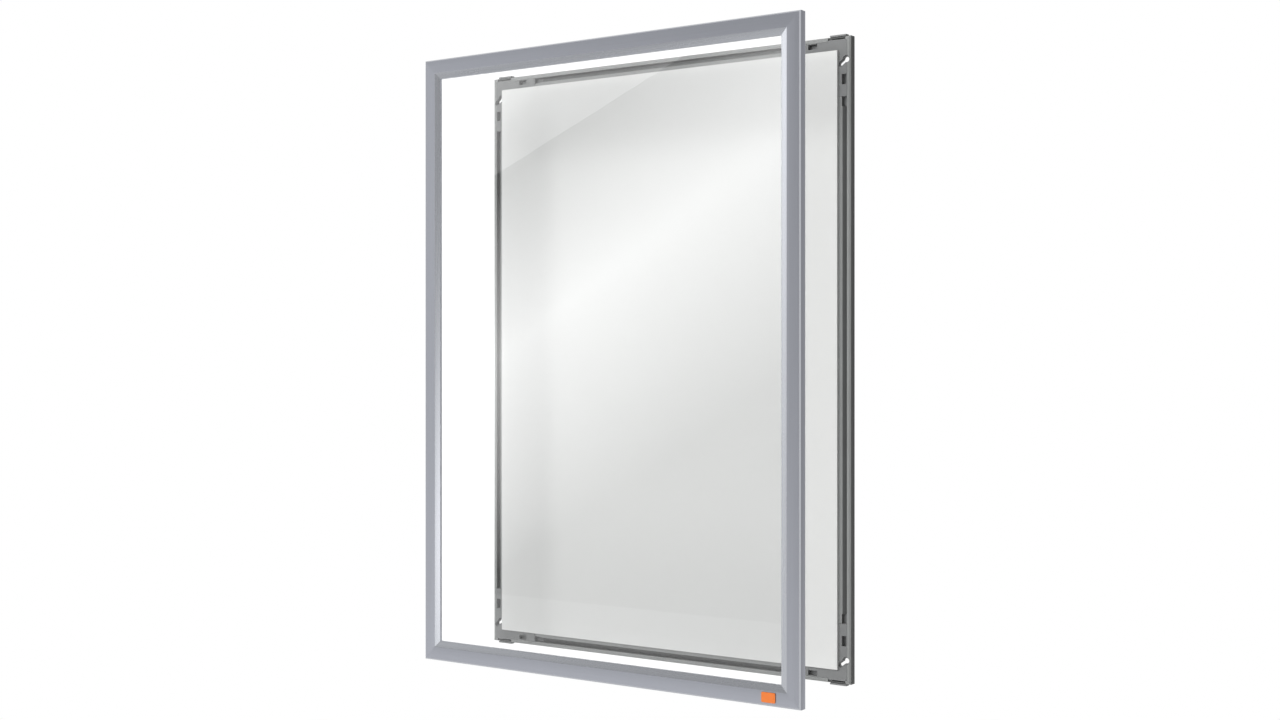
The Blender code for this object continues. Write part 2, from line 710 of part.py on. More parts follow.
def add_empty(name, location):
    """Add an empty that carries a group of pieces."""
    empty = bpy.data.objects.new(name, None)
    PARTS.objects.link(empty)
    empty.location = location
    return empty


clear_scene()
PARTS = new_collection("poster_frame")
TOOLS = new_collection("cutters")

GREY_PLASTIC = new_material("grey_plastic", (0.19, 0.20, 0.20), 0.50)
BOARD_WHITE = new_material("board_white", (0.80, 0.80, 0.78), 0.60)
ALUMINIUM = new_material("satin_aluminium", (0.52, 0.54, 0.58), 0.38, metallic=1.0)
BRACKET_ZINC = new_material("bracket_zinc", (0.42, 0.43, 0.44), 0.45, metallic=1.0)
CLIP_BLACK = new_material("clip_plastic", (0.05, 0.05, 0.055), 0.45)
CLEAR_SHEET = new_material("clear_sheet", (0.95, 0.97, 0.97), 0.05, transmission=1.0)
BADGE_ORANGE = new_material("badge_orange", (0.86, 0.19, 0.02), 0.35)

WALL_FRAME = add_empty("wall_frame", (0, -RAIL_DEPTH, 0))
build_wall_rails(WALL_FRAME, GREY_PLASTIC)
build_corner_keys(WALL_FRAME, GREY_PLASTIC)
build_backboard(WALL_FRAME, BOARD_WHITE)

# The bezel slides on this empty, from here back to CLOSED_DISTANCE in front of the wall frame's edge
FRONT_BEZEL = add_empty("front_bezel", (0, -RAIL_DEPTH - OPEN_DISTANCE, 0))
build_bezel_rails(FRONT_BEZEL, ALUMINIUM)
build_brackets(FRONT_BEZEL, BRACKET_ZINC)
build_clips(FRONT_BEZEL, CLIP_BLACK)
build_sheet(FRONT_BEZEL, CLEAR_SHEET)
build_badge(FRONT_BEZEL, BADGE_ORANGE)
bpy.context.view_layer.update()
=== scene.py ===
"""Dress the opened poster frame in its finishes and light it for its picture.

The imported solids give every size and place. The bezel's four lengths are modelled again with finer edges, the
brackets get their screws, and all other solids keep their shape and get their finish. Metres, +Z up, the
viewer at -Y; the middle of the wall frame's back is the origin.
"""
import logging
import math
from collections.abc import Iterable
from dataclasses import dataclass, field
from enum import Enum

import bmesh
import bpy
from mathutils import Matrix, Vector


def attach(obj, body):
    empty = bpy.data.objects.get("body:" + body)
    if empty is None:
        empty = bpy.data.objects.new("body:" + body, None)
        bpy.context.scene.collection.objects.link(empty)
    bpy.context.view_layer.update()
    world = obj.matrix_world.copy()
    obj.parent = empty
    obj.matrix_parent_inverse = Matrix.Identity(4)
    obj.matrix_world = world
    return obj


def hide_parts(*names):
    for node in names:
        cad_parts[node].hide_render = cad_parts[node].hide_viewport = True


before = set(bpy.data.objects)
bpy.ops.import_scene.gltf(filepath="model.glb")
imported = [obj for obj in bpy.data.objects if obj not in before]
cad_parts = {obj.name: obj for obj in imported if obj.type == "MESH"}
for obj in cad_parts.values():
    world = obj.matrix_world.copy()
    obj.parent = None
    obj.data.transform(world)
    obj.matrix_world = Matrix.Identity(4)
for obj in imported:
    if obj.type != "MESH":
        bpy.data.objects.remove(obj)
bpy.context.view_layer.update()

LOG = logging.getLogger("poster_frame")
PALE_DUST = (0.55, 0.55, 0.54, 1)
WARM_DUST = (0.50, 0.49, 0.47, 1)
PALE_MARK = (0.42, 0.42, 0.42, 1)
FLOOR_GREY = (0.86, 0.86, 0.86, 1)
WHITE = (1, 1, 1, 1)
SMOOTH_ANGLE = math.radians(40)

Colour = tuple[float, float, float]
Opaque = tuple[float, float, float, float]
Place = tuple[float, float, float]
Node = bpy.types.Node
Socket = bpy.types.NodeSocket
Material = bpy.types.Material
Value = Socket | float
Inputs = dict[str | int, object]


class Run(Enum):
    """The way a length runs, and so the way its drawn grain runs."""

    UPRIGHT = (1.0, 1.0, 0.012)
    ACROSS = (0.012, 1.0, 1.0)


class Side(Enum):
    """A side of the frame: its quarter turns about Y, and which way is outward in X and in Z."""

    LEFT = (0, -1, 0)
    TOP = (1, 0, 1)
    RIGHT = (2, 1, 0)
    BOTTOM = (3, 0, -1)

    @property
    def run(self) -> Run:
        """The way a length on this side runs."""
        return Run.UPRIGHT if self.value[1] else Run.ACROSS


class Corner(Enum):
    """A corner of the frame: which way is outward in X and in Z."""

    TOP_LEFT = (-1, 1)
    TOP_RIGHT = (1, 1)
    BOTTOM_LEFT = (-1, -1)
    BOTTOM_RIGHT = (1, -1)


class Ease(Enum):
    """How a value runs from one end of a span to the other."""

    EVEN = "LINEAR"
    SOFT = "SMOOTHSTEP"
    SOFTER = "SMOOTHERSTEP"


class NodeBench:
    """Adds nodes to one tree and joins them."""

    def __init__(self, tree: bpy.types.NodeTree) -> None:
        """Keep the tree that the nodes go into."""
        self.tree = tree

    def feed(self, node: Node, inputs: Inputs) -> None:
        """Set or join some inputs of a node.

        Args:
            node: The node.
            inputs: Values or sockets, by the input's name or number.
        """
        for name, value in inputs.items():
            if isinstance(value, Socket):
                self.tree.links.new(value, node.inputs[name])
            else:
                node.inputs[name].default_value = value

    def add(self, kind: str, inputs: Inputs | None = None, **settings: object) -> Node:
        """Add a node.

        Args:
            kind: The node's type.
            inputs: Values or sockets for its inputs, by name or number.
            **settings: The node's own settings.

        Returns:
            The new node.
        """
        node = self.tree.nodes.new(kind)
        for name, value in settings.items():
            setattr(node, name, value)
        self.feed(node, inputs or {})
        return node

    def math(self, operation: str, first: Value, second: Value) -> Socket:
        """Work out one value from two, by the Math node's operation."""
        return self.add("ShaderNodeMath", {0: first, 1: second}, operation=operation).outputs[0]

    def blend(self, first: Socket, second: Socket, share: float = 0.6) -> Socket:
        """Add two values, the first by its share and the second by the rest."""
        rest = self.math("MULTIPLY", second, 1.0 - share)
        return self.math("ADD", self.math("MULTIPLY", first, share), rest)

    def ramp(self, value: Value, start: float, stop: float, low: float, high: float,
             ease: Ease = Ease.EVEN) -> Socket:
        """Map the span from start to stop of a value onto low to high, and hold the ends."""
        span = {0: value, 1: start, 2: stop, 3: low, 4: high}
        return self.add("ShaderNodeMapRange", span, interpolation_type=ease.value).outputs[0]

    def distance(self, place: Socket, centre: Place) -> Socket:
        """Work out how far a place is from a centre."""
        return self.add("ShaderNodeVectorMath", {0: place, 1: centre}, operation="DISTANCE").outputs["Value"]

    def spread(self, value: Value, low: float, high: float) -> Socket:
        """Map a value from 0 to 1 onto low to high."""
        return self.ramp(value, 0.0, 1.0, low, high)

    def about(self, value: Value, middle: float, play: float) -> Socket:
        """Map a value from 0 to 1 onto the span that reaches a play to both sides of a middle."""
        return self.spread(value, middle - play, middle + play)

    def mix(self, share: Value, first: Opaque | Socket, second: Opaque | Socket) -> Socket:
        """Mix two colours.

        Args:
            share: How much of the second there is.
            first: A colour or socket.
            second: A colour or socket.

        Returns:
            The socket with the mixed colour.
        """
        node = self.add("ShaderNodeMix", data_type="RGBA")
        self.feed(node, {0: share, 6: first, 7: second})
        return node.outputs[2]

    def group(self, tree: bpy.types.NodeTree, inputs: Inputs) -> Node:
        """Place a shared group.

        Args:
            tree: The group.
            inputs: Values or sockets for its inputs.

        Returns:
            The group's node.
        """
        node = self.add("ShaderNodeGroup", node_tree=tree)
        self.feed(node, inputs)
        return node


def start_group(name: str, inputs: dict[str, object], outputs: list[str]) -> tuple[NodeBench, Node]:
    """Start a shared group.

    Args:
        name: The group's name.
        inputs: Each input's name and its default; a tuple makes a vector.
        outputs: The names of the values it puts out.

    Returns:
        The bench for its tree, and its input node.
    """
    tree = bpy.data.node_groups.new(name, "ShaderNodeTree")
    for label, value in inputs.items():
        kind = "NodeSocketVector" if isinstance(value, tuple) else "NodeSocketFloat"
        socket = tree.interface.new_socket(label, in_out="INPUT", socket_type=kind)
        socket.default_value = value
    for label in outputs:
        tree.interface.new_socket(label, in_out="OUTPUT", socket_type="NodeSocketFloat")
    bench = NodeBench(tree)
    return bench, bench.add("NodeGroupInput")


def drawn_grain_group() -> bpy.types.NodeTree:
    """Make the group for fine lines along a drawn or brushed length.

    Returns:
        The group, with a fine mask and a broad mask, both from 0 to 1.
    """
    inputs = {"Place": (0.0, 0.0, 0.0), "Run": (1.0, 1.0, 1.0), "Lines": 1500.0}
    bench, start = start_group("drawn_grain", inputs, ["Fine", "Broad"])
    place = bench.add("ShaderNodeVectorMath", {0: start.outputs["Place"], 1: start.outputs["Run"]},
                      operation="MULTIPLY").outputs[0]
    fine = bench.add("ShaderNodeTexNoise", {"Vector": place, "Scale": start.outputs["Lines"], "Detail": 3.0,
                                            "Roughness": 0.65})
    part = bench.math("MULTIPLY", start.outputs["Lines"], 0.12)
    broad = bench.add("ShaderNodeTexNoise", {"Vector": place, "Scale": part, "Detail": 2.0})
    bench.add("NodeGroupOutput", {"Fine": fine.outputs[0], "Broad": broad.outputs[0]})
    return bench.tree


def moulded_skin_group() -> bpy.types.NodeTree:
    """Make the group for the skin of moulded or pressed stock: cloudy flow and a fine pebble.

    Returns:
        The group, with a cloudy mask and a pebble height, both from 0 to 1.
    """
    inputs = {"Place": (0.0, 0.0, 0.0), "Clouds": 14.0, "Pebbles": 1800.0}
    bench, start = start_group("moulded_skin", inputs, ["Cloud", "Pebble"])
    place = start.outputs["Place"]
    cloud = bench.add("ShaderNodeTexNoise", {"Vector": place, "Scale": start.outputs["Clouds"], "Detail": 5.0,
                                             "Roughness": 0.6})
    cells = bench.add("ShaderNodeTexVoronoi", {"Vector": place, "Scale": start.outputs["Pebbles"]})
    bench.add("NodeGroupOutput", {"Cloud": cloud.outputs[0], "Pebble": cells.outputs["Distance"]})
    return bench.tree


def settled_dust_group() -> bpy.types.NodeTree:
    """Make the group for the little dust that settles on faces that look up.

    Returns:
        The group, with a mask from 0 to 1.
    """
    bench, start = start_group("settled_dust", {"Place": (0.0, 0.0, 0.0), "Amount": 0.3}, ["Mask"])
    normal = bench.add("ShaderNodeSeparateXYZ", {0: bench.add("ShaderNodeNewGeometry").outputs["Normal"]})
    up = bench.ramp(normal.outputs[2], 0.35, 0.95, 0.0, 1.0)
    specks = bench.add("ShaderNodeTexNoise", {"Vector": start.outputs["Place"], "Scale": 260.0,
                                              "Detail": 4.0})
    patchy = bench.ramp(specks.outputs[0], 0.35, 0.7, 0.0, 1.0)
    lying = bench.math("MULTIPLY", up, patchy)
    bench.add("NodeGroupOutput", {"Mask": bench.math("MULTIPLY", lying, start.outputs["Amount"])})
    return bench.tree


def fine_scratch_group() -> bpy.types.NodeTree:
    """Make the group for hairline handling marks.

    Returns:
        The group, with a mask from 0 to 1 that is mostly 0.
    """
    bench, start = start_group("fine_scratch", {"Place": (0.0, 0.0, 0.0), "Size": 30.0}, ["Mask"])
    bend = bench.add("ShaderNodeTexNoise", {"Vector": start.outputs["Place"], "Scale": 9.0, "Detail": 1.0})
    place = bench.add("ShaderNodeVectorMath", {0: start.outputs["Place"], 1: bend.outputs[1]},
                      operation="ADD").outputs[0]
    lines = bench.add("ShaderNodeTexVoronoi", {"Vector": place, "Scale": start.outputs["Size"]},
                      feature="DISTANCE_TO_EDGE")
    thin = bench.ramp(lines.outputs[0], 0.0, 0.012, 1.0, 0.0)
    gaps = bench.add("ShaderNodeTexNoise", {"Vector": start.outputs["Place"], "Scale": 21.0, "Detail": 2.0})
    broken = bench.ramp(gaps.outputs[0], 0.56, 0.66, 0.0, 1.0)
    bench.add("NodeGroupOutput", {"Mask": bench.math("MULTIPLY", thin, broken)})
    return bench.tree


@dataclass(frozen=True)
class SharedEffects:
    """The groups that several finishes use."""

    grain: bpy.types.NodeTree
    skin: bpy.types.NodeTree
    dust: bpy.types.NodeTree
    scratch: bpy.types.NodeTree


def empty_material(name: str) -> tuple[NodeBench, Material]:
    """Start a material with an empty tree.

    Args:
        name: The material's name.

    Returns:
        The bench for its tree, and the material.
    """
    material = bpy.data.materials.new(name)
    material.use_nodes = True
    material.node_tree.nodes.clear()
    return NodeBench(material.node_tree), material


def start_finish(name: str) -> tuple[NodeBench, Socket, Material]:
    """Start a finish's material, and give its bench, its Object coordinates and itself."""
    bench, material = empty_material(name)
    return bench, bench.add("ShaderNodeTexCoord").outputs["Object"], material


def end_finish(bench: NodeBench, inputs: Inputs) -> None:
    """Add the Principled shader with its inputs, and join it to the output."""
    shader = bench.add("ShaderNodeBsdfPrincipled", inputs)
    bench.add("ShaderNodeOutputMaterial", {"Surface": shader.outputs[0]})


def raised(bench: NodeBench, height: Socket, depth: float) -> Socket:
    """Turn a height from 0 to 1, as deep as depth in metres, into a normal."""
    return bench.add("ShaderNodeBump", {"Strength": 1.0, "Distance": depth, "Height": height}).outputs[0]


def shaded(colour: Colour, factor: float) -> Opaque:
    """Make a colour darker or lighter by a factor, and opaque."""
    return (*(part * factor for part in colour), 1)


@dataclass(frozen=True)
class DrawnMetal:
    """Drawn, satin-finished metal with its grain along the length."""

    name: str
    colour: Colour
    roughness: float
    run: Run
    lines: float = 1500.0
    contrast: float = 0.10
    depth: float = 0.000004
    dust_share: float = 0.16
    mark_size: float = 26.0
    mark_dulling: float = 0.06
    sheen_play: float = 0.05

    def material(self, effects: SharedEffects) -> Material:
        """Make the material.

        Args:
            effects: The shared groups.

        Returns:
            The material.
        """
        bench, place, material = start_finish(self.name)
        grain = bench.group(effects.grain, {"Place": place, "Run": self.run.value, "Lines": self.lines})
        dust = bench.group(effects.dust, {"Place": place, "Amount": self.dust_share})
        marks = bench.group(effects.scratch, {"Place": place, "Size": self.mark_size})
        both = bench.blend(grain.outputs["Fine"], grain.outputs["Broad"])
        dark, light = shaded(self.colour, 1 - self.contrast), shaded(self.colour, 1 + self.contrast)
        metal = bench.mix(both, dark, light)
        dulled = bench.math("MULTIPLY", marks.outputs[0], self.mark_dulling)
        end_finish(bench, {
            "Base Color": bench.mix(dust.outputs[0], metal, PALE_DUST),
            "Metallic": 1.0,
            "Roughness": bench.math("ADD", bench.about(both, self.roughness, self.sheen_play), dulled),
            "Normal": raised(bench, both, self.depth),
        })
        return material


@dataclass(frozen=True)
class MouldedPlastic:
    """Moulded or extruded plastic with a fine pebble and cloudy flow, and painted shade that darkens it where
    it lies back.
    """

    name: str
    colour: Colour
    roughness: float
    clouds: float = 16.0
    pebbles: float = 1600.0
    contrast: float = 0.12
    depth: float = 0.00002
    dust_share: float = 0.30
    mark_size: float = 34.0
    mark_share: float = 0.25
    sheen_play: float = 0.07
    # Painted shade of recesses: the depth where it starts, how dark it gets, and how far it blends.
    painted_shade_from: float = 0.0
    painted_shade_share: float = 1.0
    painted_shade_blend: float = 0.0006

    def material(self, effects: SharedEffects) -> Material:
        """Make the material.

        Args:
            effects: The shared groups.

        Returns:
            The material.
        """
        bench, place, material = start_finish(self.name)
        skin = bench.group(effects.skin, {"Place": place, "Clouds": self.clouds, "Pebbles": self.pebbles})
        dust = bench.group(effects.dust, {"Place": place, "Amount": self.dust_share})
        marks = bench.group(effects.scratch, {"Place": place, "Size": self.mark_size})
        cloud = skin.outputs["Cloud"]
        dark, light = shaded(self.colour, 1 - self.contrast), shaded(self.colour, 1 + self.contrast)
        rubbed = bench.math("MULTIPLY", marks.outputs[0], self.mark_share)
        marked = bench.mix(rubbed, bench.mix(cloud, dark, light), PALE_MARK)
        colour = bench.mix(dust.outputs[0], marked, WARM_DUST)
        # Painted shade: the colour is darkened where the surface lies back past a given depth, standing in for
        # the shade in grooves and sockets.
        if self.painted_shade_share < 1.0:
            back = bench.add("ShaderNodeSeparateXYZ", {0: place}).outputs[1]
            painted_shade_to = self.painted_shade_from + self.painted_shade_blend
            painted_shade = bench.ramp(back, self.painted_shade_from, painted_shade_to, 1.0, self.painted_shade_share)
            shade_scaled = bench.add("ShaderNodeVectorMath", {0: colour, "Scale": painted_shade}, operation="SCALE")
            colour = shade_scaled.outputs[0]
        end_finish(bench, {
            "Base Color": colour,
            "Roughness": bench.about(cloud, self.roughness, self.sheen_play),
            "Specular IOR Level": 0.28,
            "Normal": raised(bench, skin.outputs["Pebble"], self.depth),
        })
        return material


@dataclass(frozen=True)
class BoardFacing:
    """Smooth white facing of the backboard, with a faint felt mark."""

    name: str
    colour: Colour
    roughness: float
    felt_size: float = 420.0
    contrast: float = 0.025
    depth: float = 0.00002
    sheen_play: float = 0.08

    def material(self, effects: SharedEffects) -> Material:
        """Make the material.

        Args:
            effects: The shared groups.

        Returns:
            The material.
        """
        bench, place, material = start_finish(self.name)
        skin = bench.group(effects.skin, {"Place": place, "Clouds": 7.0, "Pebbles": 900.0})
        felt = bench.add("ShaderNodeTexNoise", {"Vector": place, "Scale": self.felt_size, "Detail": 4.0})
        both = bench.blend(skin.outputs["Cloud"], felt.outputs[0])
        dark, light = shaded(self.colour, 1 - self.contrast), shaded(self.colour, 1.0)
        end_finish(bench, {
            "Base Color": bench.mix(both, dark, light),
            "Roughness": bench.about(felt.outputs[0], self.roughness, self.sheen_play),
            "Specular IOR Level": 0.3,
            "Normal": raised(bench, felt.outputs[0], self.depth),
        })
        return material


@dataclass(frozen=True)
class ClearPlastic:
    """Clear glossy sheet that lets lamp light straight through."""

    name: str
    colour: Colour
    refraction: float
    passed: float = 0.88

    def material(self, effects: SharedEffects) -> Material:
        """Make the material.

        Args:
            effects: The shared groups.

        Returns:
            The material.
        """
        bench, place, material = start_finish(self.name)
        marks = bench.group(effects.scratch, {"Place": place, "Size": 11.0})
        skin = bench.group(effects.skin, {"Place": place, "Clouds": 5.0, "Pebbles": 300.0})
        faint = bench.math("MULTIPLY", marks.outputs[0], 0.03)
        haze = bench.math("MULTIPLY", skin.outputs["Cloud"], 0.012)
        dark, light = shaded(self.colour, 0.98), shaded(self.colour, 1.0)
        shader = bench.add("ShaderNodeBsdfPrincipled", {
            "Base Color": bench.mix(skin.outputs["Cloud"], dark, light),
            "Roughness": bench.math("ADD", faint, haze),
            "IOR": self.refraction,
            "Metallic": 0.0,
            "Transmission Weight": 1.0,
        })
        clear = bench.add("ShaderNodeBsdfTransparent", {"Color": (*(self.passed,) * 3, 1)})
        rays = bench.add("ShaderNodeLightPath")
        through = bench.math("MAXIMUM", rays.outputs["Is Shadow Ray"], rays.outputs["Is Diffuse Ray"])
        mixed = bench.add("ShaderNodeMixShader", {0: through, 1: shader.outputs[0], 2: clear.outputs[0]})
        bench.add("ShaderNodeOutputMaterial", {"Surface": mixed.outputs[0]})
        return material


@dataclass(frozen=True)
class Enamel:
    """Glossy coloured enamel on the plain badge."""

    name: str
    colour: Colour

    def material(self, effects: SharedEffects) -> Material:
        """Make the material.

        Args:
            effects: The shared groups.

        Returns:
            The material.
        """
        bench, place, material = start_finish(self.name)
        skin = bench.group(effects.skin, {"Place": place, "Clouds": 90.0, "Pebbles": 700.0})
        dark, light = shaded(self.colour, 0.9), shaded(self.colour, 1.0)
        end_finish(bench, {
            "Base Color": bench.mix(skin.outputs["Cloud"], dark, light),
            "Roughness": bench.spread(skin.outputs["Cloud"], 0.25, 0.35),
            "Normal": raised(bench, skin.outputs["Cloud"], 0.00003),
        })
        return material


def finish_object(name: str, shape: bmesh.types.BMesh, materials: list[Material],
                  body: str) -> bpy.types.Object:
    """Turn a finished shape into a piece that rides on a body.

    Args:
        name: The piece's name.
        shape: The shape, in place; it is freed.
        materials: Its materials, in the order of its faces' numbers.
        body: The body that it rides on.

    Returns:
        The piece.
    """
    mesh = bpy.data.meshes.new(name)
    shape.to_mesh(mesh)
    shape.free()
    for material in materials:
        mesh.materials.append(material)
    piece = bpy.data.objects.new(name, mesh)
    bpy.context.scene.collection.objects.link(piece)
    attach(piece, body)
    LOG.info("%s: %d faces", name, len(mesh.polygons))
    return piece


def dress_node(node: str, material: Material) -> bpy.types.Object:
    """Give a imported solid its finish.

    Args:
        node: The solid's name.
        material: Its material.

    Returns:
        The solid's object.
    """
    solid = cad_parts[node]
    solid.data.materials.clear()
    solid.data.materials.append(material)
    LOG.info("%s: %s", node, material.name)
    return solid


@dataclass
class BezelLengths:
    """The four mitred lengths of the bezel."""

    width: float = 0.636
    height: float = 0.888
    front: float = -0.163
    depth: float = 0.0130
    chamfer: float = 0.0018
    flat: float = 0.0180
    bevel: float = 0.0092
    drop: float = 0.0020
    leg: float = 0.0035
    wall: float = 0.0014
    face: float = 0.0016
    channel: float = 0.0196
    rib: float = 0.0012
    lip: float = 0.0012
    bead: float = 0.0014
    bead_reach: float = 0.0022
    ease: float = 0.00035
    ease_steps: int = 3
    joint: float = 0.00001
    arris_angle: float = 0.1
    slope: float = 0.1
    facing: float = 0.5
    face_colour: Colour = (0.455, 0.47, 0.52)
    bevel_colour: Colour = (0.48, 0.495, 0.53)

    def section(self) -> list[tuple[float, float]]:
        """Work out the section, x in from the outer edge and y back from the front.

        Returns:
            The section's corners, in order.
        """
        full = self.chamfer + self.flat + self.bevel
        seat = self.drop + self.leg
        mouth = seat - self.lip
        rib_start = self.wall + self.channel
        leg_inner = full - self.wall
        leg_front = self.drop * (1 - self.wall / self.bevel) + self.face
        rib_front = self.drop * (rib_start + self.rib - self.chamfer - self.flat) / self.bevel + self.face
        return [
            (0, self.depth),
            (0, self.chamfer),
            (self.chamfer, 0),
            (self.chamfer + self.flat, 0),
            (full, self.drop),
            (full, seat),
            (leg_inner, seat),
            (leg_inner, leg_front),
            (rib_start + self.rib, rib_front),
            (rib_start + self.rib, seat),
            (rib_start - self.lip, seat),
            (rib_start - self.lip, mouth),
            (rib_start, mouth),
            (rib_start, self.face),
            (self.wall, self.face),
            (self.wall, mouth),
            (self.wall + self.lip, mouth),
            (self.wall + self.lip, seat),
            (self.wall, seat),
            (self.wall, self.depth - self.bead),
            (self.wall + self.bead_reach, self.depth - self.bead),
            (self.wall + self.bead_reach, self.depth),
        ]

    def shape(self, side: Side) -> bmesh.types.BMesh:
        """Model one length: its section drawn out, its arrises eased, its ends mitred.

        Args:
            side: The side that it is for.

        Returns:
            The shape, in place.
        """
        turns, out_x, out_z = side.value
        half = (self.height if out_x else self.width) / 2
        shape = bmesh.new()
        corners = [shape.verts.new((x, y, -half)) for x, y in self.section()]
        end = shape.faces.new(corners)
        drawn = bmesh.ops.extrude_face_region(shape, geom=[end])
        moved = [part for part in drawn["geom"] if isinstance(part, bmesh.types.BMVert)]
        bmesh.ops.translate(shape, verts=moved, vec=(0, 0, 2 * half))
        bmesh.ops.recalc_face_normals(shape, faces=shape.faces)
        arrises = [edge for edge in shape.edges
                   if abs(edge.verts[0].co.z - edge.verts[1].co.z) > half
                   and edge.calc_face_angle() > self.arris_angle]
        bmesh.ops.bevel(shape, geom=arrises, offset=self.ease, segments=self.ease_steps, profile=0.5,
                        affect="EDGES", clamp_overlap=True, material=-1)
        for vert in shape.verts:
            vert.co.z = math.copysign(half - self.joint - vert.co.x, vert.co.z)
        shape.normal_update()
        for each in shape.faces:
            sloping = each.normal.y < -self.facing and abs(each.normal.x) > self.slope
            each.material_index = 1 if sloping else 0
            each.smooth = each.calc_area() > 0 and abs(each.normal.z) < self.facing
        place = Matrix.Translation((out_x * self.width / 2, self.front, out_z * self.height / 2))
        turn = Matrix.Rotation(turns * math.pi / 2, 4, "Y")
        bmesh.ops.transform(shape, matrix=place @ turn, verts=shape.verts)
        return shape

    def build(self, effects: SharedEffects) -> None:
        """Make the four lengths and put each in place of its solid.

        Args:
            effects: The shared groups.
        """
        for side in Side:
            name = side.name.lower()
            satin = DrawnMetal("satin_face_" + name, self.face_colour, 0.42, side.run)
            cut = DrawnMetal("bright_bevel_" + name, self.bevel_colour, 0.27, side.run, 1900.0, 0.04)
            materials = [satin.material(effects), cut.material(effects)]
            piece = finish_object("drawn_bezel_" + name, self.shape(side), materials, "front_bezel")
            for edge in piece.data.edges:
                edge.use_edge_sharp = False
            piece.data.set_sharp_from_angle(angle=SMOOTH_ANGLE)
            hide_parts("bezel_rail_" + name)


@dataclass
class BezelFittings:
    """The brackets, the clips and the set screws behind the bezel's face."""

    screw_radius: float = 0.0024
    screw_height: float = 0.0010
    screw_reach: float = 0.0350
    socket: float = 0.0011
    socket_depth: float = 0.0007
    rounding: float = 0.00025
    rounding_steps: int = 2
    steps: int = 24
    channel_middle: float = 0.0112
    seat: float = -0.1590
    zinc: DrawnMetal = DrawnMetal("zinc_plate", (0.44, 0.45, 0.46), 0.42, Run.ACROSS, 500.0)
    black: MouldedPlastic = MouldedPlastic("clip_black", (0.035, 0.035, 0.038), 0.42)

    def add_screw(self, shape: bmesh.types.BMesh, x: float, z: float) -> None:
        """Add one screw head with a six-sided socket, in place.

        Args:
            shape: The shape that it joins.
            x: Its place across.
            z: Its place up.
        """
        head = bmesh.new()
        bmesh.ops.create_circle(head, cap_ends=True, radius=self.screw_radius, segments=self.steps)
        raised_part = bmesh.ops.extrude_face_region(head, geom=head.faces[:])["geom"]
        rim = [part for part in raised_part if isinstance(part, bmesh.types.BMVert)]
        bmesh.ops.translate(head, verts=rim, vec=(0, 0, self.screw_height))
        bmesh.ops.recalc_face_normals(head, faces=head.faces)
        top = next(each for each in head.faces if each.normal.z > 0.9)
        bmesh.ops.bevel(head, geom=list(top.edges), offset=self.rounding, segments=self.rounding_steps,
                        profile=0.5, affect="EDGES", material=-1)
        top = max(head.faces, key=lambda each: (round(each.calc_center_median().z, 6), each.calc_area()))
        bmesh.ops.inset_region(head, faces=[top], thickness=self.screw_radius - self.rounding - self.socket)
        for vert in top.verts:
            angle = math.atan2(vert.co.y, vert.co.x)
            reach = self.socket / math.cos(angle % (math.pi / 3) - math.pi / 6)
            vert.co.x, vert.co.y = reach * math.cos(angle), reach * math.sin(angle)
        floor = bmesh.ops.extrude_discrete_faces(head, faces=[top])["faces"][0]
        bmesh.ops.translate(head, verts=floor.verts, vec=(0, 0, -self.socket_depth))
        bmesh.ops.remove_doubles(head, verts=head.verts, dist=0.000001)
        bmesh.ops.recalc_face_normals(head, faces=head.faces)
        turn = Matrix.Translation((x, self.seat, z)) @ Matrix.Rotation(-math.pi / 2, 4, "X")
        bmesh.ops.transform(head, matrix=turn, verts=head.verts)
        part = bpy.data.meshes.new("screw")
        head.to_mesh(part)
        head.free()
        shape.from_mesh(part)
        bpy.data.meshes.remove(part)

    def build(self, effects: SharedEffects, bezel: BezelLengths) -> None:
        """Finish the brackets and clips, and add the screws.

        Args:
            effects: The shared groups.
            bezel: The bezel that they lie in.
        """
        steel = self.zinc.material(effects)
        black = self.black.material(effects)
        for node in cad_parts:
            if node.startswith("bezel_bracket"):
                dress_node(node, steel)
            elif node.startswith("bezel_clip"):
                dress_node(node, black)
        half_width, half_height = bezel.width / 2, bezel.height / 2
        for corner in Corner:
            across, up = corner.value
            shape = bmesh.new()
            for in_x, in_z in ((self.channel_middle, self.screw_reach),
                               (self.screw_reach, self.channel_middle)):
                self.add_screw(shape, across * (half_width - in_x), up * (half_height - in_z))
            name = "bracket_screws_" + corner.name.lower()
            finish_object(name, shape, [steel], "front_bezel")


@dataclass
class ClearSheet:
    """The clear sheet behind the bezel's return legs."""

    finish: ClearPlastic = ClearPlastic("clear_sheet", (0.84, 0.845, 0.845), 1.49)

    def build(self, effects: SharedEffects) -> bpy.types.Object:
        """Finish the sheet and give it back."""
        return dress_node("glazing_sheet", self.finish.material(effects))


@dataclass
class PlainBadge:
    """The bare enamelled plate on the bottom length."""

    finish: Enamel = Enamel("badge_enamel", (0.76, 0.185, 0.028))

    def build(self, effects: SharedEffects) -> None:
        """Finish the badge."""
        dress_node("plain_badge", self.finish.material(effects))


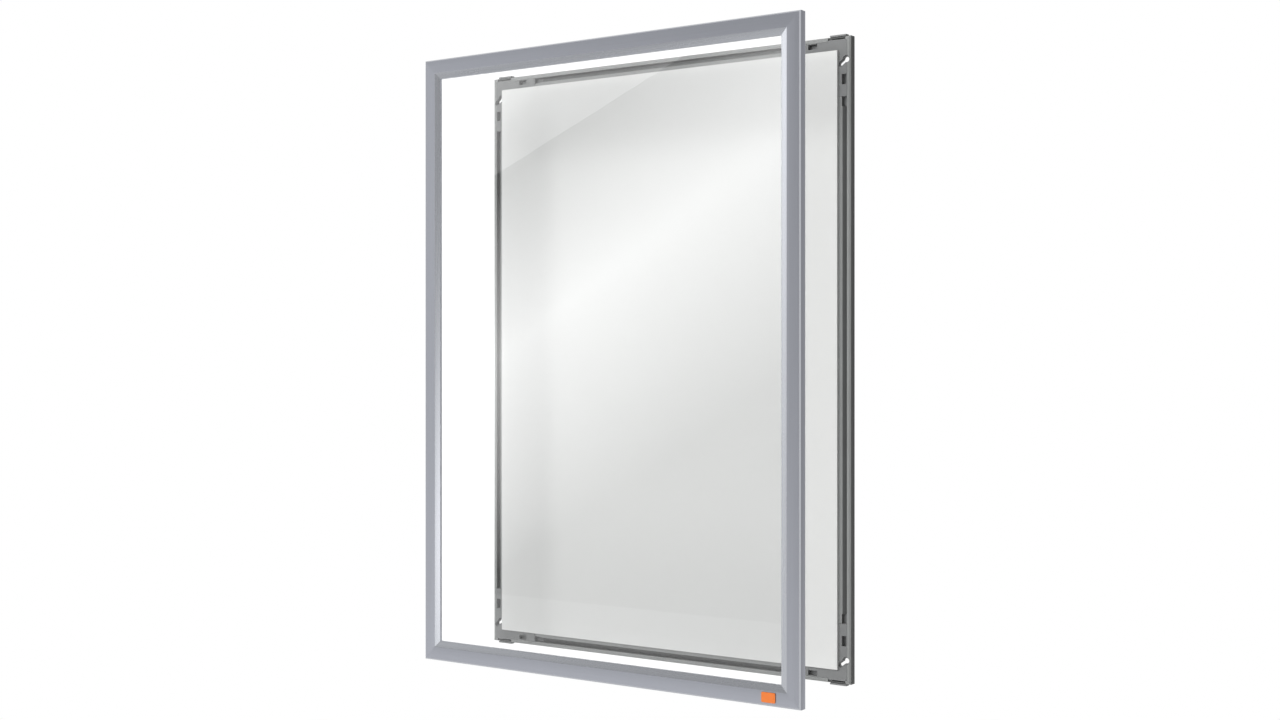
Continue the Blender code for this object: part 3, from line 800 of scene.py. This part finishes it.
@dataclass
class WallFrame:
    """The rails, the corner keys and the backboard."""

    # Painted shade darkens the rail's groove and the key's sockets behind the depths given here.
    rail: MouldedPlastic = MouldedPlastic("rail_grey", (0.283, 0.290, 0.287), 0.42, 12.0, 2400.0,
                                          painted_shade_from=-0.0104, painted_shade_share=0.35)
    key: MouldedPlastic = MouldedPlastic("key_grey", (0.222, 0.226, 0.227), 0.50, 40.0, 1400.0,
                                         painted_shade_from=-0.0046, painted_shade_share=0.45)
    board: BoardFacing = BoardFacing("board_facing", (0.787, 0.793, 0.781), 0.55)

    def build(self, effects: SharedEffects) -> None:
        """Finish the wall frame.

        Args:
            effects: The shared groups.
        """
        rail = self.rail.material(effects)
        key = self.key.material(effects)
        board = self.board.material(effects)
        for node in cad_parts:
            if node.startswith("back_rail"):
                dress_node(node, rail)
            elif node.startswith("corner_key"):
                dress_node(node, key)
            elif node == "backboard":
                dress_node(node, board)


@dataclass(frozen=True)
class Glow:
    """A round soft spot on a screen: where it is, how far it reaches and how bright it is."""

    x: float
    z: float
    reach: float
    level: float


@dataclass(frozen=True)
class Mirrored:
    """What one length of the bezel mirrors: an even brightness, and soft spots on it."""

    base: float
    glows: tuple[Glow, ...]


@dataclass(frozen=True)
class Lamp:
    """A soft square lamp: its name, where it stands, the length of its side and its watts."""

    name: str
    place: Place
    size: float
    power: float


@dataclass(frozen=True)
class Flag:
    """An even grey card that darkens what the object mirrors: its name, corners and brightness."""

    name: str
    corners: tuple[Place, ...]
    level: float


@dataclass(frozen=True)
class View:
    """The photograph's camera, fitted to the object's edges: where it stands, its turn and its lens."""

    place: Place = (1.33452, -1.98838, 0.00164)
    turn: float = math.radians(34.689)
    sensor: float = 36.0
    length: float = 46.196
    shift: float = -0.000905
    far: float = 60.0


@dataclass
class Studio:
    """The floor, the white surround, the lamps, the flags, the screens and the camera."""

    floor_height: float = -1.05
    floor_reach: float = 12.0
    fade_start: float = 0.8
    fade_stop: float = 2.6
    fade_share: float = 0.78
    surround_left: float = 0.65
    surround_right: float = 0.12
    surround_way: Place = (0.85, 0.5, 0.0)
    turn_start: float = -0.3
    turn_stop: float = 0.6
    behind_sheet: float = 0.34
    screen_depth: float = -4.0
    screen_gap: float = 0.01
    screen_width: float = 10.0
    screen_height: float = 8.0
    screen_middle: float = -2.5
    watts_per_area: float = 4.0
    panel_slope: float = 0.425
    panel_height: float = 2.256
    panel_level: float = 1.5
    step_height: float = -0.78
    step_blend: float = 0.25
    step_level: float = 0.8
    step_above: float = 0.2
    band_slope: float = 0.592
    band_height: float = 1.994
    band_above: float = 0.76
    band_below: float = 0.95
    band_level: float = 4.5
    lamps: tuple[Lamp, ...] = (
        Lamp("key_lamp", (-1.7, -4.2, 2.1), 3.0, 208.0),
        Lamp("rear_lamp", (-1.0, 4.2, 2.2), 3.0, 100.0),
    )
    flags: tuple[Flag, ...] = (
        Flag("front_flag", ((-9, -4, -5), (2.2, -4, -5), (2.2, -4, 5), (-9, -4, 5)), 0.37),
        Flag("side_flag", ((1.5, 0, -1.04), (1.5, 6, -1.04), (1.5, 6, 3), (1.5, 0, 3)), 0.46),
    )
    mirrored: dict[str, Mirrored] = field(default_factory=lambda: {
        "drawn_bezel_left": Mirrored(0.10, (Glow(-4.4, 1.4, 3.2, 0.56), Glow(-1.05, -1.4, 2.2, 1.85))),
        "drawn_bezel_top": Mirrored(0.10, (Glow(-4.6, 1.3, 3.0, 0.60), Glow(-1.4, -0.6, 1.5, 0.42))),
        "drawn_bezel_right": Mirrored(0.10, (Glow(-5.6, 2.2, 4.4, 1.40), Glow(-5.6, -1.5, 2.8, 0.45))),
        "drawn_bezel_bottom": Mirrored(0.0, (Glow(-3.8, 0.6, 1.8, 0.30), Glow(-1.9, 0.6, 1.8, 0.20),
                                             Glow(-4.2, 0.6, 1.2, 0.50))),
    })
    view: View = View()

    def plane(self, name: str, corners: Iterable[Place]) -> bpy.types.Object:
        """Make a flat stage piece.

        Args:
            name: Its name.
            corners: Its corners, in order.

        Returns:
            The piece.
        """
        shape = bmesh.new()
        shape.faces.new([shape.verts.new(corner) for corner in corners])
        mesh = bpy.data.meshes.new(name)
        shape.to_mesh(mesh)
        shape.free()
        piece = bpy.data.objects.new(name, mesh)
        bpy.context.scene.collection.objects.link(piece)
        return piece

    def seen_plain(self, bench: NodeBench) -> Socket:
        """Tell the rays that show the surround itself from those that carry its light.

        Args:
            bench: The bench of the tree.

        Returns:
            1 for a camera, glossy or transmitted ray, and 0 for the rest.
        """
        rays = bench.add("ShaderNodeLightPath")
        mirrored = bench.math("MAXIMUM", rays.outputs["Is Glossy Ray"], rays.outputs["Is Transmission Ray"])
        return bench.math("MAXIMUM", rays.outputs["Is Camera Ray"], mirrored)

    def white_level(self, bench: NodeBench) -> Socket:
        """Make the white seen through the clear sheet as much brighter as the sheet darkens it."""
        through = bench.add("ShaderNodeLightPath").outputs["Is Transmission Ray"]
        return bench.math("ADD", bench.math("MULTIPLY", through, self.behind_sheet), 1.0)

    def build_world(self) -> None:
        """Make the soft surround, white where it is seen."""
        world = bpy.data.worlds.new("surround")
        world.use_nodes = True
        world.node_tree.nodes.clear()
        bench = NodeBench(world.node_tree)
        ways = bench.add("ShaderNodeTexCoord").outputs["Generated"]
        across = bench.add("ShaderNodeVectorMath", {0: ways, 1: self.surround_way}, operation="DOT_PRODUCT")
        soft = bench.ramp(across.outputs["Value"], self.turn_start, self.turn_stop,
                          self.surround_left, self.surround_right)
        even = bench.add("ShaderNodeBackground", {"Color": WHITE, "Strength": soft})
        white = bench.add("ShaderNodeBackground", {"Color": WHITE, "Strength": self.white_level(bench)})
        mixed = bench.add("ShaderNodeMixShader", {0: self.seen_plain(bench), 1: even.outputs[0],
                                                  2: white.outputs[0]})
        bench.add("ShaderNodeOutputWorld", {"Surface": mixed.outputs[0]})
        bpy.context.scene.world = world

    def build_floor(self) -> None:
        """Make the pale floor, which fades into the white surround away from the object."""
        reach, height = self.floor_reach, self.floor_height
        corners = [(-reach, -reach, height), (reach, -reach, height), (reach, reach, height),
                   (-reach, reach, height)]
        floor = self.plane("floor", corners)
        bench, material = empty_material("floor_pale")
        place = bench.add("ShaderNodeTexCoord").outputs["Object"]
        fade = bench.ramp(bench.distance(place, (0.0, 0.0, height)), self.fade_start, self.fade_stop,
                          self.fade_share, 1.0)
        share = bench.math("MULTIPLY", fade, self.seen_plain(bench))
        matt = bench.add("ShaderNodeBsdfDiffuse", {"Color": FLOOR_GREY})
        white = bench.add("ShaderNodeEmission", {"Color": WHITE, "Strength": self.white_level(bench)})
        mixed = bench.add("ShaderNodeMixShader", {0: share, 1: matt.outputs[0], 2: white.outputs[0]})
        bench.add("ShaderNodeOutputMaterial", {"Surface": mixed.outputs[0]})
        floor.data.materials.append(material)

    def build_lamp(self, lamp: Lamp) -> None:
        """Make a lamp that looks at the object and isn't mirrored.

        Args:
            lamp: The lamp.
        """
        light = bpy.data.lights.new(lamp.name, "AREA")
        light.size = lamp.size
        light.energy = lamp.power
        holder = bpy.data.objects.new(lamp.name, light)
        holder.location = lamp.place
        holder.rotation_euler = (-Vector(lamp.place)).to_track_quat("-Z", "Y").to_euler()
        holder.visible_glossy = False
        holder.visible_transmission = False
        bpy.context.scene.collection.objects.link(holder)

    def only_mirrored(self, piece: bpy.types.Object) -> None:
        """Let a flag or screen show in reflections alone.

        Args:
            piece: The flag or screen.
        """
        piece.visible_camera = False
        piece.visible_diffuse = False
        piece.visible_transmission = False
        piece.visible_shadow = False

    def build_flag(self, flag: Flag) -> None:
        """Make a flag.

        Args:
            flag: The flag.
        """
        card = self.plane(flag.name, flag.corners)
        bench, material = empty_material(flag.name)
        light = bench.add("ShaderNodeEmission", {"Color": WHITE, "Strength": flag.level})
        bench.add("ShaderNodeOutputMaterial", {"Surface": light.outputs[0]})
        card.data.materials.append(material)
        self.only_mirrored(card)

    def start_screen(self, name: str, receivers: list[bpy.types.Object]) -> tuple[NodeBench, Socket]:
        """Start a large lamp that shows only in the reflections of some pieces.

        Args:
            name: Its name.
            receivers: The pieces that mirror it.

        Returns:
            The bench of its tree and the place on it.
        """
        lamp = bpy.data.lights.new(name, "AREA")
        lamp.shape = "RECTANGLE"
        lamp.size = self.screen_width
        lamp.size_y = self.screen_height
        lamp.energy = self.screen_width * self.screen_height * self.watts_per_area
        lamp.use_nodes = True
        lamp.node_tree.nodes.clear()
        holder = bpy.data.objects.new(name, lamp)
        holder.location = (self.screen_middle, self.screen_depth + self.screen_gap, 0.0)
        holder.rotation_euler = (math.pi / 2, 0.0, 0.0)
        bpy.context.scene.collection.objects.link(holder)
        self.only_mirrored(holder)
        group = bpy.data.collections.new(name + "_receivers")
        for piece in receivers:
            group.objects.link(piece)
        holder.light_linking.receiver_collection = group
        bench = NodeBench(lamp.node_tree)
        return bench, bench.add("ShaderNodeNewGeometry").outputs["Position"]

    def end_screen(self, bench: NodeBench, level: Socket) -> None:
        """Join a screen's brightness to its lamp."""
        light = bench.add("ShaderNodeEmission", {"Color": WHITE, "Strength": level})
        bench.add("ShaderNodeOutputLight", {"Surface": light.outputs[0]})

    def glow(self, bench: NodeBench, place: Socket, spot: Glow) -> Socket:
        """Work out the brightness of one soft spot at a place on the screen."""
        away = bench.distance(place, (spot.x, self.screen_depth, spot.z))
        return bench.ramp(away, 0.0, spot.reach, spot.level, 0.0, Ease.SOFTER)

    def build_glare(self, sheet: bpy.types.Object) -> None:
        """Make what the clear sheet mirrors: a soft slanting band and a sharp-edged bright panel.

        Args:
            sheet: The clear sheet.
        """
        bench, place = self.start_screen("glare_screen", [sheet])
        axes = bench.add("ShaderNodeSeparateXYZ", {0: place})
        x, z = axes.outputs[0], axes.outputs[2]
        edge = bench.math("ADD", bench.math("MULTIPLY", x, self.panel_slope), self.panel_height)
        panel = bench.math("MULTIPLY", bench.math("GREATER_THAN", z, edge), self.panel_level)
        middle = bench.math("ADD", bench.math("MULTIPLY", x, self.band_slope), self.band_height)
        off = bench.math("SUBTRACT", z, middle)
        over = bench.ramp(off, 0.0, self.band_above, 1.0, 0.0)
        under = bench.ramp(off, 0.0, -self.band_below, 1.0, 0.0)
        band = bench.math("MULTIPLY", bench.math("MULTIPLY", over, under), self.band_level)
        calm = bench.spread(over, self.step_above, 1.0)
        step = bench.ramp(z, self.step_height - self.step_blend, self.step_height + self.step_blend,
                          0.0, self.step_level, Ease.SOFT)
        glare = bench.math("ADD", panel, band)
        self.end_screen(bench, bench.math("ADD", glare, bench.math("MULTIPLY", step, calm)))

    def build_metal_screen(self, name: str) -> None:
        """Make the even grey and the soft spots that one length of the bezel mirrors.

        Args:
            name: The length.
        """
        bench, place = self.start_screen("screen_of_" + name, [bpy.data.objects[name]])
        mirrored = self.mirrored[name]
        level: Value = mirrored.base
        for spot in mirrored.glows:
            level = bench.math("ADD", level, self.glow(bench, place, spot))
        self.end_screen(bench, level)

    def build_camera(self) -> None:
        """Make the camera, at the photograph's place and angle."""
        lens = bpy.data.cameras.new("camera")
        lens.sensor_width = self.view.sensor
        lens.lens = self.view.length
        lens.shift_y = self.view.shift
        lens.clip_end = self.view.far
        camera = bpy.data.objects.new("camera", lens)
        camera.location = self.view.place
        camera.rotation_euler = (math.pi / 2, 0.0, self.view.turn)
        bpy.context.scene.collection.objects.link(camera)
        bpy.context.scene.camera = camera

    def build(self, sheet: bpy.types.Object) -> None:
        """Build the whole studio.

        Args:
            sheet: The clear sheet, which mirrors a screen of its own.
        """
        self.build_world()
        self.build_floor()
        for lamp in self.lamps:
            self.build_lamp(lamp)
        for flag in self.flags:
            self.build_flag(flag)
        self.build_glare(sheet)
        for name in self.mirrored:
            self.build_metal_screen(name)
        self.build_camera()
        bpy.context.scene.view_settings.view_transform = "Standard"


def main() -> None:
    """Build each sub-assembly in order, then the studio."""
    logging.basicConfig(level=logging.INFO, format="%(message)s")
    effects = SharedEffects(drawn_grain_group(), moulded_skin_group(), settled_dust_group(),
                            fine_scratch_group())
    bezel = BezelLengths()
    bezel.build(effects)
    BezelFittings().build(effects, bezel)
    sheet = ClearSheet().build(effects)
    PlainBadge().build(effects)
    WallFrame().build(effects)
    Studio().build(sheet)


if __name__ == "__main__":
    main()
